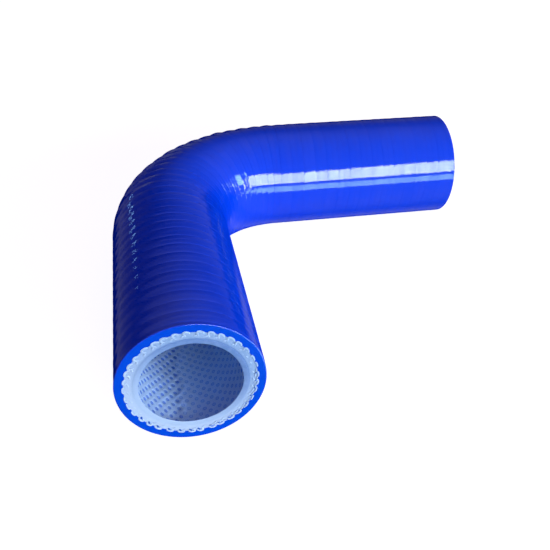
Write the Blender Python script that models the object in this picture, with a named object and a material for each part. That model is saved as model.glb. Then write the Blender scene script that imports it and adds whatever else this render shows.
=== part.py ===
"""Ninety degree silicone hose elbow for an engine bay, in metres, +Z up.

The hose lies flat. Its near leg points along -Y and its far leg along +X, and the
origin is under the middle of its footprint. It is built as it is made: a milky liner
over the mandrel, a knitted fabric sleeve round it, and a blue cover that was cured
under a helical wrapping tape. Angles round the hose start on the inner side of the
bend and pass over the top.
"""
import math

import bmesh
import bpy
from mathutils import Vector

# Route of the centreline
NEAR_LEG = 0.102                    # crossing of the two axes to the near cut end
FAR_LEG = 0.101                     # crossing of the two axes to the far cut end
BEND_RADIUS = 0.038
BEND_ANGLE = math.radians(90)

# Section, from the bore outwards
BORE_DIAMETER = 0.024
LINER_WALL = 0.0012
FABRIC_WALL = 0.0024
COVER_WALL = 0.0017
BOND_GAP = 0.0001                   # gum film that joins each layer to the next

# Marks of the wrapping tape on the cover
WRAP_PITCH = 0.004
WRAP_DEPTH = 0.0002                 # valley under the crest that the tape's edge leaves
WRAP_CREST = 0.7                    # where the crest stands in each pitch
SPARE_TURNS = 2                     # turns laid past each end before the trim

# Stitch loops on the outside of the fabric
LOOP_COUNT = 36
LOOP_HEIGHT = 0.0005
LOOP_LEAN = 0.65                    # where the tip of a loop stands in its own width

# Fineness of the surfaces
COVER_SIDES = 36
BORE_SIDES = 36
BEND_STEPS = 10

# Sizes that follow
BEND_TANGENT = BEND_RADIUS * math.tan(BEND_ANGLE / 2)
BEND_START = NEAR_LEG - BEND_TANGENT
BEND_LENGTH = BEND_RADIUS * BEND_ANGLE
HOSE_LENGTH = BEND_START + BEND_LENGTH + FAR_LEG - BEND_TANGENT
BEND_CENTRE = Vector((BEND_RADIUS, -BEND_TANGENT, 0.0))
BORE_RADIUS = BORE_DIAMETER / 2
FABRIC_INNER = BORE_RADIUS + LINER_WALL + BOND_GAP
FABRIC_OUTER = FABRIC_INNER + FABRIC_WALL
COVER_INNER = FABRIC_OUTER + BOND_GAP
COVER_OUTER = COVER_INNER + COVER_WALL


def clear_scene():
    for old in list(bpy.data.objects):
        bpy.data.objects.remove(old, do_unlink=True)


def make_material(name, colour, roughness):
    material = bpy.data.materials.new(name)
    material.use_nodes = True
    shader = material.node_tree.nodes["Principled BSDF"]
    shader.inputs["Base Color"].default_value = (*colour, 1.0)
    shader.inputs["Roughness"].default_value = roughness
    shader.inputs["Metallic"].default_value = 0.0
    material.diffuse_color = (*colour, 1.0)
    return material


def centreline(distance):
    """Point, forward direction and direction to the inner side of the bend.

    The distance runs from the near cut end, and past either end the route goes on
    straight.
    """
    turned = min(max((distance - BEND_START) / BEND_RADIUS, 0.0), BEND_ANGLE)
    forward = Vector((math.sin(turned), math.cos(turned), 0.0))
    inner = Vector((math.cos(turned), -math.sin(turned), 0.0))
    straight = distance - BEND_START - BEND_RADIUS * turned
    return BEND_CENTRE - BEND_RADIUS * inner + straight * forward, forward, inner


def surface_point(distance, angle, radius):
    point, _, inner = centreline(distance)
    return point + radius * (math.cos(angle) * inner + math.sin(angle) * Vector((0.0, 0.0, 1.0)))


def stations():
    """Distances of the plain rings: both cut ends and the steps round the bend."""
    steps = [BEND_START + BEND_LENGTH * step / BEND_STEPS for step in range(BEND_STEPS + 1)]
    return [0.0, *steps, HOSE_LENGTH]


def round_section(radius):
    return [(2 * math.pi * side / BORE_SIDES, radius) for side in range(BORE_SIDES)]


def looped_section(tip_radius):
    """A ring of leaning stitch loops: each rises to its tip and falls to the next notch."""
    section = []
    for loop in range(LOOP_COUNT):
        section.append((2 * math.pi * loop / LOOP_COUNT, tip_radius - LOOP_HEIGHT))
        section.append((2 * math.pi * (loop + LOOP_LEAN) / LOOP_COUNT, tip_radius))
    return section


def loft_section(bm, section):
    """Run a section along the hose, open at both ends."""
    rings = [
        [bm.verts.new(surface_point(distance, angle, radius)) for angle, radius in section]
        for distance in stations()
    ]
    for near, far in zip(rings, rings[1:]):
        for side in range(len(section)):
            beside = (side + 1) % len(section)
            bm.faces.new((near[side], near[beside], far[beside], far[side]))


def wrap_surface(bm):
    """The cover's outside: one helical strip with a crest for every turn of the tape.

    Each turn has two rows of corners, a valley and a crest. A row climbs one pitch on
    its way round, so its last corner meets the first corner two rows on. The strip is
    laid longer than the hose, because the trim cuts it square.
    """
    last_turn = math.ceil(HOSE_LENGTH / WRAP_PITCH) + SPARE_TURNS
    rows = []
    for turn in range(-SPARE_TURNS, last_turn):
        for share, radius in ((0.0, COVER_OUTER - WRAP_DEPTH), (WRAP_CREST, COVER_OUTER)):
            start = (turn + share) * WRAP_PITCH
            rows.append([
                bm.verts.new(surface_point(
                    start + WRAP_PITCH * side / COVER_SIDES,
                    2 * math.pi * side / COVER_SIDES,
                    radius,
                ))
                for side in range(COVER_SIDES)
            ])
    for row in range(len(rows) - 3):
        near = rows[row] + [rows[row + 2][0]]
        far = rows[row + 1] + [rows[row + 3][0]]
        for side in range(COVER_SIDES):
            bm.faces.new((near[side], near[side + 1], far[side + 1], far[side]))
    loose = [vert for vert in bm.verts if not vert.link_faces]
    bmesh.ops.delete(bm, geom=loose, context="VERTS")


def cut_ends():
    """Middle of each cut end, with the direction that it faces."""
    near, forward, _ = centreline(0.0)
    far, onward, _ = centreline(HOSE_LENGTH)
    return (near, -forward), (far, onward)


def trim_square(bm):
    for middle, facing in cut_ends():
        bmesh.ops.bisect_plane(
            bm,
            geom=[*bm.verts, *bm.edges, *bm.faces],
            dist=1e-6,
            plane_co=middle,
            plane_no=facing,
            clear_outer=True,
        )


def close_ends(bm):
    """Fill the flat ring between the outer and the inner surface at each cut end."""
    for middle, facing in cut_ends():
        rim = [
            edge for edge in bm.edges
            if edge.is_boundary and all(abs((vert.co - middle).dot(facing)) < 1e-5 for vert in edge.verts)
        ]
        bmesh.ops.triangle_fill(bm, use_beauty=True, edges=rim, normal=facing)


def finish_layer(bm, name, material):
    bmesh.ops.recalc_face_normals(bm, faces=bm.faces)
    mesh = bpy.data.meshes.new(name)
    bm.to_mesh(mesh)
    bm.free()
    mesh.materials.append(material)
    mesh.shade_smooth()
    mesh.set_sharp_from_angle(angle=math.radians(30))
    layer = bpy.data.objects.new(name, mesh)
    bpy.context.collection.objects.link(layer)
    return layer


def make_liner():
    bm = bmesh.new()
    loft_section(bm, round_section(BORE_RADIUS + LINER_WALL))
    loft_section(bm, round_section(BORE_RADIUS))
    close_ends(bm)
    return finish_layer(bm, "inner_liner", make_material("milky_silicone", (0.42, 0.55, 0.75), 0.35))


def make_fabric():
    bm = bmesh.new()
    loft_section(bm, looped_section(FABRIC_OUTER))
    loft_section(bm, round_section(FABRIC_INNER))
    close_ends(bm)
    return finish_layer(bm, "fabric_sleeve", make_material("white_polyester", (0.62, 0.70, 0.82), 0.8))


def make_cover():
    bm = bmesh.new()
    wrap_surface(bm)
    trim_square(bm)
    loft_section(bm, looped_section(COVER_INNER))
    close_ends(bm)
    return finish_layer(bm, "outer_cover", make_material("blue_silicone", (0.004, 0.05, 0.75), 0.25))


def rest_on_floor(layers):
    """Set the origin under the middle of the footprint, with the hose resting on z = 0."""
    bpy.context.view_layer.update()
    corners = [layer.matrix_world @ vert.co for layer in layers for vert in layer.data.vertices]
    low = [min(corner[axis] for corner in corners) for axis in range(3)]
    high = [max(corner[axis] for corner in corners) for axis in range(3)]
    shift = Vector((-(low[0] + high[0]) / 2, -(low[1] + high[1]) / 2, -low[2]))
    for layer in layers:
        layer.location += shift


def main():
    clear_scene()
    rest_on_floor([make_cover(), make_fabric(), make_liner()])


main()
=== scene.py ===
"""Looks of the silicone hose elbow: the wrapped blue cover, the knitted fabric that shows
at its cut ends and through the milky liner, and the studio round it.

Lengths are in metres. Places on the hose are given by the distance along its centreline
from the near cut end, and by the angle round it, which starts on the inner side of the
bend and passes over the top.
"""

import math

import bmesh
import bpy
import numpy as np
from mathutils import Matrix, Vector


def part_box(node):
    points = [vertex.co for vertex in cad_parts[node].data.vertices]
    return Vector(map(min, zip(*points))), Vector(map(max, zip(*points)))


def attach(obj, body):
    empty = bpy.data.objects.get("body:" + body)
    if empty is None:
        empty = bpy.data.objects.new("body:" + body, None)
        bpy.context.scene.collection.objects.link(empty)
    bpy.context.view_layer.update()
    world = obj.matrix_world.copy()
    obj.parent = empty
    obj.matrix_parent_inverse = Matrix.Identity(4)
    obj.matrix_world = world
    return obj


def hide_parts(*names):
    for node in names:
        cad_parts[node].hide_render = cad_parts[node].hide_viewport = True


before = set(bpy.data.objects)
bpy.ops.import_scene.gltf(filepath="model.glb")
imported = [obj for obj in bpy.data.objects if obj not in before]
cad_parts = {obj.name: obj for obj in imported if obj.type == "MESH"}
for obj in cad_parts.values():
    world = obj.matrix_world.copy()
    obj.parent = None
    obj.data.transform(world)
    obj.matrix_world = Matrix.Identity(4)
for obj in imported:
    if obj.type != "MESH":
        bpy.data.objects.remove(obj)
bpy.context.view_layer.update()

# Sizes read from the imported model
cover_low, cover_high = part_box("outer_cover")
liner_low, liner_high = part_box("inner_liner")
OUTER_RADIUS = (cover_high.z - cover_low.z) / 2
LINER_RADIUS = (liner_high.z - liner_low.z) / 2
CORNER = np.array((cover_low.x + OUTER_RADIUS, cover_high.y - OUTER_RADIUS, cover_low.z + OUTER_RADIUS))
NEAR_LEG = CORNER[1] - cover_low.y
FAR_LEG = cover_high.x - CORNER[0]

# Route and section
BEND_RADIUS = 0.038
BEND_START = NEAR_LEG - BEND_RADIUS
BEND_LENGTH = BEND_RADIUS * math.pi / 2
HOSE_LENGTH = BEND_START + BEND_LENGTH + FAR_LEG - BEND_RADIUS
BEND_CENTRE = CORNER + np.array((BEND_RADIUS, -BEND_RADIUS, 0.0))
BORE_RADIUS = 0.012
COVER_WALL = 0.0017
COVER_INNER = OUTER_RADIUS - COVER_WALL

# Marks of the wrapping tape. The heights stand at shares of one pitch, from 0 in the
# groove to 1: the tape's edge leaves a short riser, the turn beneath it a fainter one.
# Round the outside of the bend the turns are pulled apart and bulge between their grooves.
WRAP_PITCH = 0.004
WRAP_DEPTH = 0.00008                # on the sides that the tape was smoothed down on
WRAP_DEPTH_OUTER = 0.00050          # over the outside of the bend
OUTER_SHARE = 0.17                  # of that depth, on the outer side of both legs
FAR_SHARE = 0.60                    # of the depth on the inner side, past the bend
WRAP_SHARES = (0.0, 0.03, 0.06, 0.09, 0.30, 0.50, 0.53, 0.56, 0.59, 0.80, 0.97)
WRAP_HEIGHTS = (0.0, 0.22, 0.62, 0.80, 0.84, 0.66, 0.70, 0.88, 0.94, 0.72, 0.06)
BULGE_HEIGHTS = (0.0, 0.04, 0.08, 0.13, 0.66, 1.0, 1.0, 0.98, 0.95, 0.46, 0.05)
COVER_COLUMNS = 132
EDGE_ROUND = 0.00018                # how far the cut edge is rounded off
LIP_DEPTH = 0.0006                  # how deep the border with the fabric goes straight in
FLARE_DEPTH = 0.0012                # where it has widened to the inside of the cover

# Fabric at the cut ends
GUM_BORDER = 0.01532                # where the blue silicone gives way to white fabric
FABRIC_SINK = 0.00010               # how far the fabric's cut face lies under the cut
LINER_SINK = 0.00005
FABRIC_COLUMNS = 148
LOOP_COUNT = 37
LOOP_CROWN = 0.01550                # radius of a stitch loop's crown
LOOP_SPAN = 0.00078                 # half the width of a loop
LOOP_DROP = 0.00044                 # how far its feet reach in from the crown
LOOP_LEAN = 0.55                    # how far a loop leans for each step outwards
LOOP_THICK = 0.00027                # half the width of its yarn
LOOP_RISE = 0.00007                 # half the height of its yarn
LOOP_FOOT = 0.01428                 # radius where its foot goes into the plies
CHAIN_OUTER = 0.01508               # radii of the two rows of chain stitch, low on the inner side
CHAIN_INNER = 0.01466
GUM_LOWER = 0.01490                 # radii of the beads of gum between the loops
GUM_RIGHT = 0.01493
PLY_GAP = 0.00005                   # between the plies and the cover

# Net that shows through the liner
NET_RADIUS = 0.01330
NET_ALONG = 0.0027
NET_ROUND = 0.00245
NET_HOLE = 0.00058                  # radius of a hole
NET_RISE = 0.00014                  # how far a strand's crown stands off its edge
NET_PIT = 0.00036                   # depth of a hole
NET_TILT = math.radians(-6)         # rows against the axis
NET_START = math.radians(258.5)     # where the rolled net begins
NET_LAP = math.radians(77)          # how far it runs on over its own start
NET_STEP = 0.00040                  # how much deeper the lapped layer lies
NET_INSET = 0.0004                  # how far the net stays behind the cut ends


def route(distance):
    """Centre, forward direction and direction to the bend's inner side, for an array of distances."""
    turned = np.clip((distance - BEND_START) / BEND_RADIUS, 0.0, math.pi / 2)
    zero = np.zeros_like(turned)
    forward = np.stack([np.sin(turned), np.cos(turned), zero], -1)
    inner = np.stack([np.cos(turned), -np.sin(turned), zero], -1)
    straight = distance - BEND_START - BEND_RADIUS * turned
    return BEND_CENTRE - BEND_RADIUS * inner + straight[..., None] * forward, forward, inner


def on_hose(distance, angle, radius):
    """Points of the hose for arrays of distance, angle and radius, which broadcast."""
    distance, angle, radius = np.broadcast_arrays(distance, angle, radius)
    centre, _, inner = route(distance)
    up = np.array((0.0, 0.0, 1.0))
    side = np.cos(angle)[..., None] * inner + np.sin(angle)[..., None] * up
    return centre + radius[..., None] * side


def smooth(value, low, high):
    """Share of the way from low to high, eased at both ends."""
    share = np.clip((value - low) / (high - low), 0.0, 1.0)
    return share * share * (3.0 - 2.0 * share)


def strip_faces(index):
    """Quads between neighbours in a grid of vertex numbers."""
    quads = np.stack([index[:-1, :-1], index[:-1, 1:], index[1:, 1:], index[1:, :-1]], -1)
    return quads.reshape(-1, 4).tolist()


def tube_faces(rows, columns, start=0, ring=False):
    """Quads of rows that close on themselves, and of a last row that meets the first in a ring."""
    index = start + np.arange(rows * columns).reshape(rows, columns)
    index = np.concatenate([index, index[:, :1]], 1)
    if ring:
        index = np.concatenate([index, index[:1]])
    return strip_faces(index)


def new_piece(name, points, faces, materials, kinds=None, values=None, weld=0.0, sharp=40):
    """Mesh object with smooth shading, a material for each face and a value for each vertex."""
    mesh = bpy.data.meshes.new(name)
    mesh.from_pydata(np.asarray(points).reshape(-1, 3).tolist(), [], faces)
    for material in materials:
        mesh.materials.append(material)
    if kinds is not None:
        mesh.polygons.foreach_set("material_index", np.asarray(kinds, dtype=np.int32))
    for key, value in (values or {}).items():
        layer = mesh.attributes.new(key, "FLOAT", "POINT")
        layer.data.foreach_set("value", np.asarray(value, dtype=np.float32).ravel())
    bm = bmesh.new()
    bm.from_mesh(mesh)
    if weld:
        bmesh.ops.remove_doubles(bm, verts=bm.verts, dist=weld)
    bmesh.ops.recalc_face_normals(bm, faces=bm.faces)
    bm.to_mesh(mesh)
    bm.free()
    mesh.shade_smooth()
    mesh.set_sharp_from_angle(angle=math.radians(sharp))
    piece = bpy.data.objects.new(name, mesh)
    bpy.context.scene.collection.objects.link(piece)
    return piece


class Nodes:
    """A small helper that adds linked nodes to one material."""

    def __init__(self, name, level=0.5, ior=1.41):
        self.material = bpy.data.materials.new(name)
        self.material.use_nodes = True
        self.tree = self.material.node_tree
        self.shader = self.tree.nodes["Principled BSDF"]
        self.shader.inputs["Specular IOR Level"].default_value = level
        self.shader.inputs["IOR"].default_value = ior

    def add(self, kind, settings=(), **inputs):
        node = self.tree.nodes.new(kind)
        for key, value in dict(settings).items():
            setattr(node, key, value)
        for key, value in inputs.items():
            self.feed(node.inputs[key.replace("_", " ")], value)
        return node

    def feed(self, socket, value):
        if isinstance(value, bpy.types.NodeSocket):
            self.tree.links.new(value, socket)
        else:
            socket.default_value = value

    def math(self, operation, a, b=0.0, c=0.0):
        node = self.tree.nodes.new("ShaderNodeMath")
        node.operation = operation
        for socket, value in zip(node.inputs, (a, b, c)):
            self.feed(socket, value)
        return node.outputs[0]

    def attribute(self, name):
        node = self.tree.nodes.new("ShaderNodeAttribute")
        node.attribute_name = name
        return node.outputs["Fac"]

    def ramp(self, factor, low, high, out_low=0.0, out_high=1.0):
        node = self.tree.nodes.new("ShaderNodeMapRange")
        node.interpolation_type = "SMOOTHSTEP"
        for socket, value in zip(node.inputs, (factor, low, high, out_low, out_high)):
            self.feed(socket, value)
        return node.outputs["Result"]

    def mix(self, factor, a, b):
        node = self.tree.nodes.new("ShaderNodeMix")
        node.data_type = "RGBA"
        self.feed(node.inputs["Factor"], factor)
        self.feed(node.inputs[6], a)
        self.feed(node.inputs[7], b)
        return node.outputs[2]

    def position(self):
        return self.tree.nodes.new("ShaderNodeTexCoord").outputs["Object"]

    def noise(self, scale, detail=2.0, roughness=0.5):
        node = self.add(
            "ShaderNodeTexNoise", Vector=self.position(), Scale=scale, Detail=detail, Roughness=roughness
        )
        return node.outputs["Fac"]

    def streaks(self, fine, broad, detail=2.0):
        """Noise drawn out round the hose: fine along it, and broad across."""
        parts = self.add("ShaderNodeSeparateXYZ", Vector=self.position()).outputs
        level = self.math("MULTIPLY", self.math("ADD", parts[0], parts[1]), broad)
        height = self.math("MULTIPLY", parts[2], broad)
        along = self.math("MULTIPLY", self.attribute("along"), fine)
        place = self.add("ShaderNodeCombineXYZ", X=along, Y=level, Z=height).outputs[0]
        return self.add("ShaderNodeTexNoise", Vector=place, Scale=1.0, Detail=detail).outputs["Fac"]

    def bump(self, height, distance, strength=1.0, normal=None):
        node = self.add("ShaderNodeBump", Height=height, Distance=distance, Strength=strength)
        if normal is not None:
            self.feed(node.inputs["Normal"], normal)
        return node.outputs["Normal"]

    def set(self, **inputs):
        for key, value in inputs.items():
            self.feed(self.shader.inputs[key.replace("_", " ")], value)


def colour(red, green, blue):
    """Linear colour from a display colour of 0 to 255."""
    def linear(value):
        share = value / 255
        return share / 12.92 if share <= 0.04045 else ((share + 0.055) / 1.055) ** 2.4
    return (linear(red), linear(green), linear(blue), 1.0)


GLOSS = 0.24                        # specular level of the cover, seen straight on
GLANCE_GLOSS_OUTER = 0.006          # at a glance, on the outer side of the bend
GLANCE_GLOSS_INNER = 0.024          # at a glance, on its inner side


def silicone_material():
    """Glossy blue silicone, with the fine weave of the wrapping tape pressed into it.

    The bloom on its surface takes the gloss away where it is seen at a glance.
    """
    m = Nodes("blue_silicone", level=GLOSS)
    cloud = m.noise(90.0, 3.0)
    weave = m.streaks(1300.0, 90.0)
    bloom = m.streaks(1000.0, 45.0, 3.0)
    m.set(Base_Color=m.mix(cloud, colour(3, 60, 222), colour(3, 66, 230)))
    m.set(Roughness=m.ramp(m.math("ADD", cloud, m.math("MULTIPLY", weave, 0.5)), 0.5, 1.0, 0.055, 0.075))
    facing = m.add("ShaderNodeLayerWeight", Blend=0.5).outputs["Facing"]
    inner_side = m.attribute("inner_side")
    glance = m.ramp(inner_side, -0.2, 0.3, GLANCE_GLOSS_OUTER, GLANCE_GLOSS_INNER)
    sheen = m.ramp(facing, 0.26, 0.52, GLOSS, glance)
    sheen = m.math("MULTIPLY", sheen, m.ramp(facing, 0.72, 0.83, 1.0, 0.0))
    m.set(Specular_IOR_Level=m.math("MULTIPLY", sheen, m.ramp(bloom, 0.42, 0.58, 0.78, 1.15)))
    normal = m.bump(m.noise(420.0, 3.0), 0.00004, m.ramp(inner_side, -0.6, 0.2, 0.6, 0.2))
    normal = m.bump(weave, 0.00004, 0.55, normal)
    m.set(Normal=m.bump(m.noise(2600.0, 2.0), 0.00001, 0.4, normal))
    return m.material


def cut_silicone_material():
    """The same silicone where a knife has cut it: less glossy, with faint drag marks."""
    m = Nodes("cut_silicone", level=0.01)
    cloud = m.noise(700.0, 3.0)
    m.set(Base_Color=m.mix(cloud, colour(2, 70, 208), colour(4, 78, 218)))
    m.set(Roughness=m.ramp(cloud, 0.3, 0.7, 0.42, 0.55))
    m.set(Normal=m.bump(m.noise(1500.0, 3.0), 0.00003, 0.6))
    return m.material


def gum_and_shade_material():
    """Blue silicone that was pressed up between the stitch loops, in their shade; its dull dark blue is
    partly painted shade.
    """
    m = Nodes("pressed_gum_painted_shade", level=0.03)
    cloud = m.noise(1200.0, 2.0)
    m.set(Base_Color=m.mix(cloud, colour(50, 100, 196), colour(70, 120, 210)))
    m.set(Roughness=m.ramp(cloud, 0.3, 0.7, 0.4, 0.6))
    return m.material


# Deep and pale shade of the milky silicone where it is cut: painted shade and painted light
MILKY_CUT = (colour(100, 138, 198), colour(168, 200, 236))


def cut_colour_painted_light(m, deep, pale):
    """Colour of the cut ends, with painted light and shade: paler low on their outer side, where the
    light falls, and deeper away from it.
    """
    return m.mix(m.attribute("pale"), deep, pale)


def yarn_material():
    """White polyester, with fibres and the blue cast that soaked silicone gives it."""
    m = Nodes("white_yarn", level=0.01)
    fibre = m.noise(3500.0, 4.0, 0.6)
    # painted light and shade round the cut end, set by the pale attribute
    base = cut_colour_painted_light(m, colour(150, 188, 230), colour(192, 218, 246))
    m.set(Base_Color=m.mix(m.ramp(fibre, 0.35, 0.65), base, colour(172, 204, 242)))
    m.set(Roughness=m.ramp(fibre, 0.3, 0.7, 0.6, 0.85))
    m.set(Normal=m.bump(fibre, 0.00004, 0.8))
    return m.material


def ply_material():
    """Close-knit plies: white at the cut, and bluer where the cover's silicone has soaked them."""
    m = Nodes("soaked_plies", level=0.01)
    fibre = m.noise(2500.0, 4.0, 0.6)
    # painted light and shade round the cut end, set by the pale attribute
    base = cut_colour_painted_light(m, colour(130, 168, 216), colour(180, 208, 240))
    base = m.mix(m.ramp(m.noise(1500.0, 2.0), 0.35, 0.65, 0.0, 0.4), base, colour(164, 196, 238))
    base = m.mix(m.attribute("milky"), base, cut_colour_painted_light(m, *MILKY_CUT))
    m.set(Base_Color=m.mix(m.attribute("gum"), base, colour(20, 90, 226)))
    m.set(Roughness=m.ramp(fibre, 0.3, 0.7, 0.55, 0.8))
    m.set(Normal=m.bump(fibre, 0.00005, 0.8))
    return m.material


def net_material():
    """Knitted net: pale strands round holes that are blue, or half filled where it laps."""
    m = Nodes("net_yarn", level=0.0)
    fibre = m.noise(3200.0, 3.0, 0.6)
    pit = m.attribute("pit")
    strand = m.mix(m.noise(600.0, 2.0), colour(168, 208, 252), colour(184, 218, 254))
    filled = m.math("MULTIPLY", m.attribute("lapped"), m.ramp(pit, 0.1, 0.6, 0.3, 1.0))
    hole = m.mix(filled, colour(92, 140, 234), colour(152, 192, 246))
    m.set(Base_Color=m.mix(m.ramp(pit, 0.02, 0.16), strand, hole))
    m.set(Roughness=m.ramp(fibre, 0.3, 0.7, 0.6, 0.8))
    m.set(Normal=m.bump(fibre, 0.00001, 0.4))
    return m.material


def liner_material():
    """Milky silicone, seen into from the bore."""
    m = Nodes("milky_silicone", level=0.02)
    cloud = m.noise(300.0, 3.0)
    m.set(Base_Color=m.mix(cloud, colour(160, 198, 248), colour(176, 210, 252)))
    m.set(Roughness=m.ramp(cloud, 0.3, 0.7, 0.28, 0.40))
    m.set(Normal=m.bump(m.noise(800.0, 2.0), 0.00003, 0.4))
    m.shader.inputs["Alpha"].default_value = 0.16
    return m.material


def cut_liner_material():
    m = Nodes("cut_liner", level=0.015)
    # painted light and shade round the cut end, set by the pale attribute
    base = cut_colour_painted_light(m, *MILKY_CUT)
    m.set(Base_Color=m.mix(m.ramp(m.noise(800.0, 3.0), 0.3, 0.7, 0.0, 0.2), base, colour(150, 182, 230)))
    m.set(Roughness=m.ramp(m.noise(500.0, 3.0), 0.3, 0.7, 0.35, 0.5))
    m.set(Normal=m.bump(m.noise(1800.0, 3.0), 0.00002, 0.5))
    return m.material


def tape_place(turn, angle):
    """Distance along the hose of a place on the tape, with the wander of a tape wound by hand."""
    wander = 0.00011 * np.sin(angle + 0.7 * turn) + 0.00006 * np.sin(2 * angle - 1.3 * turn)
    return WRAP_PITCH * turn + wander


def tape_turn(distance, angle):
    """The other way round: turns of the tape laid by a distance."""
    turn = distance / WRAP_PITCH
    for _ in range(3):
        turn = turn - (tape_place(turn, angle) - distance) / WRAP_PITCH
    return turn


def tape_radius(turn, angle):
    """Radius of the cover at a place on the tape. Some turns were laid tighter than others."""
    phase = turn - angle / (2 * math.pi)
    distance = turn * WRAP_PITCH
    bent = smooth(distance, BEND_START - 0.05 * BEND_LENGTH, BEND_START + 0.25 * BEND_LENGTH)
    bent = bent * (1.0 - smooth(distance, BEND_START + 0.8 * BEND_LENGTH, BEND_START + 1.2 * BEND_LENGTH))
    outer = smooth(np.cos(angle - math.radians(145)), 0.60, 0.90)
    ridge = np.interp(phase, WRAP_SHARES, WRAP_HEIGHTS, period=1.0)
    bulge = np.interp(phase, WRAP_SHARES, BULGE_HEIGHTS, period=1.0)
    height = ridge + (bulge - ridge) * outer
    tension = 0.78 + 0.22 * np.sin(2.4 * turn) * np.sin(0.7 * turn + angle)
    share = OUTER_SHARE + (1.0 - OUTER_SHARE) * bent
    depth = WRAP_DEPTH + (WRAP_DEPTH_OUTER * share - WRAP_DEPTH) * outer
    far = smooth(distance, BEND_START + 0.6 * BEND_LENGTH, BEND_START + 1.2 * BEND_LENGTH)
    depth = depth * (1.0 - (1.0 - FAR_SHARE) * far * smooth(np.cos(angle - math.radians(20)), 0.1, 0.6))
    return OUTER_RADIUS - depth * (1.0 - tension * height)


def tape_strip(angle):
    """Rows of corners that follow the tape, so that the marks of its edges stay crisp.

    Rows that run past a cut end are gathered on it.
    """
    turns = np.arange(-2, math.ceil(HOSE_LENGTH / WRAP_PITCH) + 2)
    starts = (turns[:, None] + np.array(WRAP_SHARES)[None, :]).ravel()
    turn = starts[:, None] + angle[None, :] / (2 * math.pi)
    around = np.broadcast_to(angle, turn.shape)
    distance = np.clip(tape_place(turn, around), EDGE_ROUND, HOSE_LENGTH - EDGE_ROUND)
    radius = tape_radius(tape_turn(distance, around), around)
    index = np.arange(turn.size).reshape(turn.shape)
    climb = len(WRAP_SHARES)
    return distance, radius, strip_faces(np.concatenate([index[:-climb], index[climb:, :1]], 1))


def cut_rings(angle, end, inward):
    """Rings from the rim of a cut end over its rounded edge and cut face to the inside."""
    edge = end + inward * EDGE_ROUND
    rim = tape_radius(tape_turn(np.full_like(angle, edge), angle), angle)
    quarter = np.linspace(0.0, math.pi / 2, 5)
    rings = [
        (edge - inward * EDGE_ROUND * math.sin(turn), rim - EDGE_ROUND * (1 - math.cos(turn)), 0)
        for turn in quarter
    ]
    border = rim - EDGE_ROUND
    rings += [(end, border + (GUM_BORDER - border) * share, 1) for share in (0.33, 0.67, 1.0)]
    rings += [(end + inward * LIP_DEPTH, np.full_like(angle, GUM_BORDER), 1)]
    rings += [(end + inward * FLARE_DEPTH, np.full_like(angle, COVER_INNER), 1)]
    return rings


def make_cover():
    """Cover: helical strip outside, rounded cut edges, cut faces and a smooth inside."""
    angle = 2 * math.pi * np.arange(COVER_COLUMNS) / COVER_COLUMNS
    distance, radius, faces = tape_strip(angle)
    bend = np.linspace(BEND_START, BEND_START + BEND_LENGTH, 19)
    rings = cut_rings(angle, 0.0, 1.0)
    rings += [(place, np.full_like(angle, COVER_INNER), 1) for place in bend]
    rings += cut_rings(angle, HOSE_LENGTH, -1.0)[::-1]
    places = np.array([np.full_like(angle, place) for place, _, _ in rings])
    kinds = np.array([kind for _, _, kind in rings])
    distances = np.concatenate([distance, places])
    radii = np.concatenate([radius, np.array([ring for _, ring, _ in rings])])
    inside = tube_faces(len(rings), COVER_COLUMNS, start=distance.size)
    face_kinds = np.repeat(np.maximum(kinds[:-1], kinds[1:]), COVER_COLUMNS)
    return new_piece(
        "cover",
        on_hose(distances, angle[None, :], radii),
        faces + inside,
        [silicone_material(), cut_silicone_material()],
        kinds=[0] * len(faces) + face_kinds.tolist(),
        values={"along": distances, "inner_side": np.broadcast_to(np.cos(angle), distances.shape)},
        weld=0.000002,
    )


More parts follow.
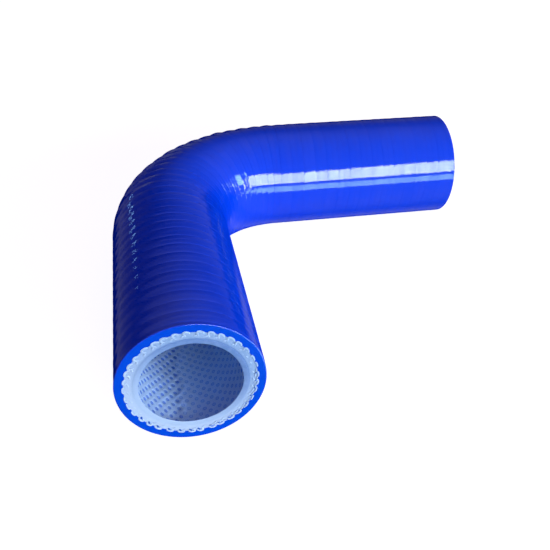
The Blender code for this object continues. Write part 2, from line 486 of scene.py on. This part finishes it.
def make_net():
    """The rolled net: strands on the bias round staggered holes, lapped over its own start."""
    half_along, half_round = NET_ALONG / 2, NET_ROUND / 2
    spokes = 2 * math.pi * np.arange(8) / 8
    diamond = [(1.0, 0.0), (0.5, 0.5), (0.0, 1.0), (-0.5, 0.5)]
    diamond += [(-1.0, 0.0), (-0.5, -0.5), (0.0, -1.0), (0.5, -0.5)]
    border = np.array(diamond) * (half_along, half_round)
    rim = NET_HOLE * np.stack([np.cos(spokes) * 1.08, np.sin(spokes) * 0.95], -1)
    offsets = np.concatenate([border, rim, [(0.0, 0.0)]])
    lift = np.concatenate([np.zeros(8), np.full(8, NET_RISE), [NET_PIT]])
    pit = np.concatenate([np.zeros(16), [1.0]])

    width = NET_RADIUS * (2 * math.pi + NET_LAP)
    rows = np.arange(-12, int((HOSE_LENGTH + 0.03) / half_along))
    columns = np.arange(-12, int(width / NET_ROUND) + 12)
    grid_row, grid_column = [part.ravel() for part in np.meshgrid(rows, columns, indexing="ij")]
    along = (grid_row * half_along)[:, None] + offsets[None, :, 0]
    around = ((grid_column + 0.5 * (grid_row % 2)) * NET_ROUND)[:, None] + offsets[None, :, 1]
    tilted_along = along * math.cos(NET_TILT) - around * math.sin(NET_TILT)
    tilted_round = along * math.sin(NET_TILT) + around * math.cos(NET_TILT)
    middle_along, middle_round = tilted_along[:, -1], tilted_round[:, -1]
    kept = (middle_along > -half_along) & (middle_along < HOSE_LENGTH + half_along)
    kept &= (middle_round > 0.0) & (middle_round < width)
    tilted_along, rolled = tilted_along[kept], tilted_round[kept] / NET_RADIUS
    tiles, corners = rolled.shape
    lapped = smooth(rolled, 2 * math.pi - 0.35, 2 * math.pi)
    doubled = np.broadcast_to((middle_round[kept] / NET_RADIUS < NET_LAP)[:, None], rolled.shape)
    depth = np.where(doubled & (pit > 0.5), 0.35, 1.0)
    radius = NET_RADIUS + NET_STEP * lapped + lift[None, :] * depth

    side = np.arange(8)
    beside = (side + 1) % 8
    start = corners * np.arange(tiles)[:, None, None]
    ring = start + np.stack([side, beside, beside + 8, side + 8], -1)[None]
    fan = start + np.stack([side + 8, beside + 8, np.full(8, 16)], -1)[None]
    piece = new_piece(
        "inner_net",
        on_hose(tilted_along, NET_START + rolled, radius),
        ring.reshape(-1, 4).tolist() + fan.reshape(-1, 3).tolist(),
        [net_material()],
        values={"pit": np.broadcast_to(pit, rolled.shape), "lapped": doubled},
        weld=0.00001,
        sharp=60,
    )
    trim_ends(piece.data, NET_INSET)
    return piece


def trim_ends(mesh, inset):
    """Cut a mesh square, a little way inside each cut end of the hose."""
    bm = bmesh.new()
    bm.from_mesh(mesh)
    middles, forwards, _ = route(np.array([inset, HOSE_LENGTH - inset]))
    for middle, facing in ((middles[0], -forwards[0]), (middles[1], forwards[1])):
        bmesh.ops.bisect_plane(
            bm, geom=[*bm.verts, *bm.edges, *bm.faces], dist=1e-6,
            plane_co=Vector(middle), plane_no=Vector(facing), clear_outer=True,
        )
    bm.to_mesh(mesh)
    bm.free()


def painted_light_share(angle):
    """Share of painted light round a cut end, most low on its outer side."""
    return smooth(np.cos(angle - math.radians(238)), -0.9, 1.1)


def make_plies():
    """The close-knit plies between the net and the cover, with their cut faces."""
    angle = 2 * math.pi * np.arange(FABRIC_COLUMNS) / FABRIC_COLUMNS
    core = LINER_RADIUS - 0.0001
    bend = np.linspace(BEND_START, BEND_START + BEND_LENGTH, 19)
    shell = COVER_INNER - PLY_GAP
    face = np.linspace(core, GUM_BORDER, 10)
    hidden = NET_RADIUS + NET_STEP + NET_PIT + 0.0001
    places = [(FABRIC_SINK, radius) for radius in face]
    lip = [(LIP_DEPTH, GUM_BORDER - 0.00003), (FLARE_DEPTH + 0.0001, shell)]
    places += lip
    places += [(distance, shell) for distance in bend]
    places += [(HOSE_LENGTH - distance, radius) for distance, radius in lip[::-1]]
    places += [(HOSE_LENGTH - FABRIC_SINK, radius) for radius in face[::-1]]
    places += [(HOSE_LENGTH - NET_INSET + 0.0001, core), (HOSE_LENGTH - NET_INSET + 0.0001, hidden)]
    places += [(distance, hidden) for distance in bend[::-1]]
    places += [(NET_INSET - 0.0001, hidden), (NET_INSET - 0.0001, core)]
    distances, radii = np.array(places).T
    distances = np.repeat(distances[:, None], FABRIC_COLUMNS, 1)
    radii = np.repeat(radii[:, None], FABRIC_COLUMNS, 1)
    around = np.broadcast_to(angle, radii.shape)
    lower = smooth(np.cos(around - math.radians(285)), 0.2, 0.7)
    gum = smooth(radii, 0.01505, 0.0153) * (0.25 + 0.6 * lower)
    milky = 1.0 - smooth(radii, 0.0133, 0.0138)
    return new_piece(
        "plies",
        on_hose(distances, around, radii),
        tube_faces(len(places), FABRIC_COLUMNS, ring=True),
        [ply_material()],
        # pale carries the painted light round the cut ends
        values={"gum": gum, "milky": milky, "pale": painted_light_share(around)},
    )


class EndPieces:
    """Meshes that are laid on the two cut faces, given by angle, radius and depth there."""

    def __init__(self):
        self.points = []
        self.faces = []
        self.pale = []
        self.count = 0

    def strand(self, across, outward, middle, thick, rise):
        """A piece of yarn along a path of offsets from a middle angle and radius."""
        sides = 2 * math.pi * np.arange(8) / 8
        step = np.gradient(np.stack([across, outward]), axis=1)
        step /= np.hypot(*step)
        taper = np.sqrt(np.clip(1.0 - np.linspace(-1.0, 1.0, len(across)) ** 6, 0.02, 1.0))[:, None]
        width = thick * taper * np.cos(sides)[None, :]
        angle = middle[0] + (across[:, None] - step[1][:, None] * width) / middle[1]
        radius = middle[1] + outward[:, None] + step[0][:, None] * width
        height = rise * (taper * (np.sin(sides)[None, :] + 0.4) - 0.5 * (1.0 - taper))
        rows = len(across)
        faces = tube_faces(rows, 8) + [list(range(8)), list(range((rows - 1) * 8, rows * 8))]
        for end, out in ((0.0, -1.0), (HOSE_LENGTH, 1.0)):
            self.points.append(on_hose(end + out * height, angle, radius).reshape(-1, 3))
            # pale carries the painted light round the cut ends
            self.pale.append(painted_light_share(angle).ravel())
            self.faces += [[corner + self.count for corner in face] for face in faces]
            self.count += angle.size

    def oval(self, middle, length, thick, slant, rise):
        along = np.linspace(-0.5, 0.5, 5) * length
        self.strand(along * math.cos(slant), along * math.sin(slant), middle, thick, rise)

    def piece(self, name, material):
        values = {"pale": np.concatenate(self.pale)}
        return new_piece(name, np.concatenate(self.points), self.faces, [material], values=values)


def make_stitches():
    """Stitch loops that stand round the outside of the fabric, and the gum between them, whose dark blue
    is partly painted shade.
    """
    random = np.random.default_rng(11)
    loops, gum = EndPieces(), EndPieces()
    pitch = 2 * math.pi / LOOP_COUNT
    swing = np.radians(np.linspace(205, -58, 11))
    tail = np.clip(np.linspace(-1.2, 1.0, len(swing)), 0.0, 1.0) ** 2
    for number in range(LOOP_COUNT):
        angle = (number + 0.35) * pitch + 0.14 * pitch * random.uniform(-1, 1)
        slack = 1.0 + 0.22 * random.uniform(-1, 1)
        upper = smooth(math.cos(angle - math.radians(100)), 0.1, 0.6)
        lower = smooth(math.cos(angle - math.radians(262)), 0.45, 0.8)
        right = smooth(math.cos(angle - math.radians(330)), 0.62, 0.82)
        flat = 0.4 + 0.6 * max(upper, lower)
        drop = LOOP_DROP * flat * slack
        outward = drop * (np.sin(swing) - 1.0)
        span = LOOP_SPAN * (1.0 + 0.15 * random.uniform(-1, 1))
        across = span * np.cos(swing) + LOOP_LEAN * (outward + drop)
        outward = outward - 0.0006 * upper * tail
        crown = LOOP_CROWN + 0.00005 * random.uniform(-1, 1)
        loops.strand(across, outward, (angle, crown), LOOP_THICK * (0.6 + 0.4 * flat), LOOP_RISE)
        foot = (angle + 0.42 * pitch, LOOP_FOOT + 0.00006 * random.uniform(-1, 1))
        loops.oval(foot, 0.0010 * slack, 0.00019, -0.46, LOOP_RISE * 0.7)
        if right > 0.5:
            loops.oval((angle + 0.5 * pitch, CHAIN_OUTER), 0.0013 * slack, 0.00016, 0.1, LOOP_RISE)
            loops.oval((angle, CHAIN_INNER), 0.0014 * slack, 0.00015, 0.05, LOOP_RISE)
            # gum beads: blue silicone, darkened in part as painted shade under the loops
            gum.oval((angle + 0.22 * pitch, GUM_RIGHT), 0.0006 * slack, 0.00017, 0.9, 0.00011)
        if lower > 0.5:
            gum.oval((angle - 0.10 * pitch, GUM_LOWER), 0.0010 * slack, 0.00024, 0.75, 0.00012)
    return loops.piece("stitch_loops", yarn_material()), gum.piece("gum_beads_painted_shade", gum_and_shade_material())


def make_liner():
    """The milky liner: its see-through bore wall, and the denser faces where it is cut.

    Its outside is one with the fabric, so only a short lip goes down there at each end.
    """
    columns = 144
    angle = 2 * math.pi * np.arange(columns) / columns
    bend = np.linspace(BEND_START, BEND_START + BEND_LENGTH, 37)
    lip = 0.00012
    near = [(0.0003, LINER_RADIUS, 1), (LINER_SINK, LINER_RADIUS, 1), (LINER_SINK, BORE_RADIUS + lip, 1)]
    near += [(LINER_SINK + lip * 0.3, BORE_RADIUS + lip * 0.3, 1), (LINER_SINK + lip, BORE_RADIUS, 0)]
    far = [(HOSE_LENGTH - distance, radius, kind) for distance, radius, kind in near[::-1]]
    rings = near + [(distance, BORE_RADIUS, 0) for distance in bend] + far
    distances = np.array([np.full(columns, ring[0]) for ring in rings])
    radii = np.array([np.full(columns, ring[1]) for ring in rings])
    kinds = np.array([ring[2] for ring in rings])
    around = np.broadcast_to(angle, radii.shape)
    return new_piece(
        "liner",
        on_hose(distances, around, radii),
        tube_faces(len(rings), columns),
        [liner_material(), cut_liner_material()],
        kinds=np.repeat(np.minimum(kinds[:-1], kinds[1:]), columns),
        # pale carries the painted light round the cut ends
        values={"pale": painted_light_share(around)},
    )


FLOOR_GLOW = 0.92                   # how white the floor looks, where 1 is white
LAMP_DISTANCE = 2.0


def make_floor():
    """Pale floor that looks white and keeps the hose's shadow."""
    bpy.ops.mesh.primitive_plane_add(size=8.0, location=(0.0, 0.0, cover_low.z))
    floor = bpy.context.object
    floor.name = "floor"
    m = Nodes("pale_floor", level=0.0)
    paths = m.tree.nodes.new("ShaderNodeLightPath")
    seen = m.math("MAXIMUM", paths.outputs["Is Camera Ray"], paths.outputs["Is Glossy Ray"])
    seen = m.math("MAXIMUM", seen, paths.outputs["Is Transmission Ray"])
    m.set(Base_Color=(0.46, 0.46, 0.47, 1.0), Roughness=1.0, Emission_Color=(1.0, 1.0, 1.0, 1.0))
    m.set(Emission_Strength=m.math("MULTIPLY", seen, FLOOR_GLOW))
    floor.data.materials.append(m.material)


def area_light(name, bearing, rise, size, strength, glossy=False, tint=(1.0, 1.0, 1.0)):
    """A soft box with its middle at a bearing and a rise seen from the hose.

    Bearings are degrees to the right of straight in front, rises are degrees over the
    horizon, and sizes are degrees as well. A lamp either lights what it shines on or shows in
    what is glossy.
    """
    data = bpy.data.lights.new(name, "AREA")
    data.shape = "RECTANGLE"
    data.size = 2 * LAMP_DISTANCE * math.tan(math.radians(size[0] / 2))
    data.size_y = 2 * LAMP_DISTANCE * math.tan(math.radians(size[1] / 2))
    data.energy = strength * math.pi * data.size * data.size_y
    data.color = tint
    lamp = bpy.data.objects.new(name, data)
    bpy.context.scene.collection.objects.link(lamp)
    turned, raised = math.radians(bearing), math.radians(rise)
    way = Vector((
        math.sin(turned) * math.cos(raised),
        -math.cos(turned) * math.cos(raised),
        math.sin(raised),
    ))
    lamp.location = Vector((0.0, 0.0, OUTER_RADIUS)) + way * LAMP_DISTANCE
    lamp.rotation_euler = way.to_track_quat("Z", "Y").to_euler()
    lamp.visible_camera = False
    lamp.visible_diffuse = not glossy
    lamp.visible_glossy = glossy
    return lamp


def make_world():
    """Faint violet light from all round, and a white backdrop where it is seen or mirrored."""
    world = bpy.data.worlds.new("studio")
    bpy.context.scene.world = world
    world.use_nodes = True
    nodes, links = world.node_tree.nodes, world.node_tree.links
    sky = nodes["Background"]
    sky.inputs["Color"].default_value = (0.68, 0.46, 1.0, 1.0)
    sky.inputs["Strength"].default_value = 0.11
    backdrop = nodes.new("ShaderNodeBackground")
    backdrop.inputs["Color"].default_value = (1.0, 1.0, 1.0, 1.0)
    both = nodes.new("ShaderNodeMixShader")
    paths = nodes.new("ShaderNodeLightPath").outputs
    seen = nodes.new("ShaderNodeMath")
    seen.operation = "MAXIMUM"
    either = nodes.new("ShaderNodeMath")
    either.operation = "MAXIMUM"
    links.new(paths["Is Camera Ray"], either.inputs[0])
    links.new(paths["Is Glossy Ray"], either.inputs[1])
    links.new(either.outputs[0], seen.inputs[0])
    links.new(paths["Is Transmission Ray"], seen.inputs[1])
    links.new(seen.outputs[0], both.inputs[0])
    links.new(sky.outputs[0], both.inputs[1])
    links.new(backdrop.outputs[0], both.inputs[2])
    links.new(both.outputs[0], nodes["World Output"].inputs["Surface"])


def make_lights():
    """The window and the ceiling light the colours, and the other lamps show only in gloss.

    Those are brighter than the window, because the cover's gloss is set low to keep the
    white backdrop from veiling its blue.
    """
    area_light("window", 32, 11, (64, 20), 10.6)
    area_light("ceiling", 0, 90, (60, 60), 0.35, tint=(0.8, 0.5, 1.0))
    area_light("window_glare", 33, 16, (66, 23), 50, True, tint=(0.76, 0.95, 0.85))
    area_light("second_pane", 82.5, 19, (9, 18), 45, True, tint=(0.45, 0.85, 1.0))
    area_light("back_strip", 210, 4.4, (6.6, 3.0), 29, True, tint=(0.25, 0.55, 1.0))
    area_light("back_wall", 190, 6, (22, 8), 0.8, True, tint=(0.8, 1.0, 0.7))
    # A bright patch of the table, which shows low on the far leg
    sheen = area_light("table_sheen", 0, 0, (16, 15.5), 23, True, tint=(0.5, 0.9, 1.0))
    sheen.location = (0.27, -0.32, cover_low.z + 0.0005)
    sheen.rotation_euler = (math.pi, 0.0, 0.0)


def make_camera():
    """Camera at the photograph's angle, worked out from the hose's outline and cut end."""
    place = np.array((-0.005443, -0.213739, 0.107775))
    yaw, pitch, roll = math.radians(12.209), math.radians(34.832), math.radians(-1.511)
    focal = 667.2
    image_width = 550
    ahead = Vector((math.sin(yaw) * math.cos(pitch), math.cos(yaw) * math.cos(pitch), -math.sin(pitch)))
    level = Vector((math.cos(yaw), -math.sin(yaw), 0.0))
    below = ahead.cross(level)
    right = math.cos(roll) * level + math.sin(roll) * below
    down = -math.sin(roll) * level + math.cos(roll) * below
    data = bpy.data.cameras.new("camera")
    data.sensor_width = 36.0
    data.lens = focal / image_width * data.sensor_width
    data.clip_start = 0.01
    camera = bpy.data.objects.new("camera", data)
    bpy.context.scene.collection.objects.link(camera)
    turn = Matrix((right, -down, -ahead)).transposed()
    camera.matrix_world = Matrix.Translation(Vector(CORNER + place)) @ turn.to_4x4()
    bpy.context.scene.camera = camera


make_camera()
stitches, gum_beads_painted_shade = make_stitches()
for piece, node, slot in (
    (make_cover(), "outer_cover", "cover"),
    (make_net(), "fabric_sleeve", "fabric"),
    (make_plies(), "fabric_sleeve", "fabric"),
    (stitches, "fabric_sleeve", "fabric"),
    (gum_beads_painted_shade, "fabric_sleeve", "fabric"),
    (make_liner(), "inner_liner", "liner"),
):
    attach(piece, "root")
    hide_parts(node)
make_floor()
make_world()
make_lights()

bpy.context.scene.view_settings.view_transform = "Standard"
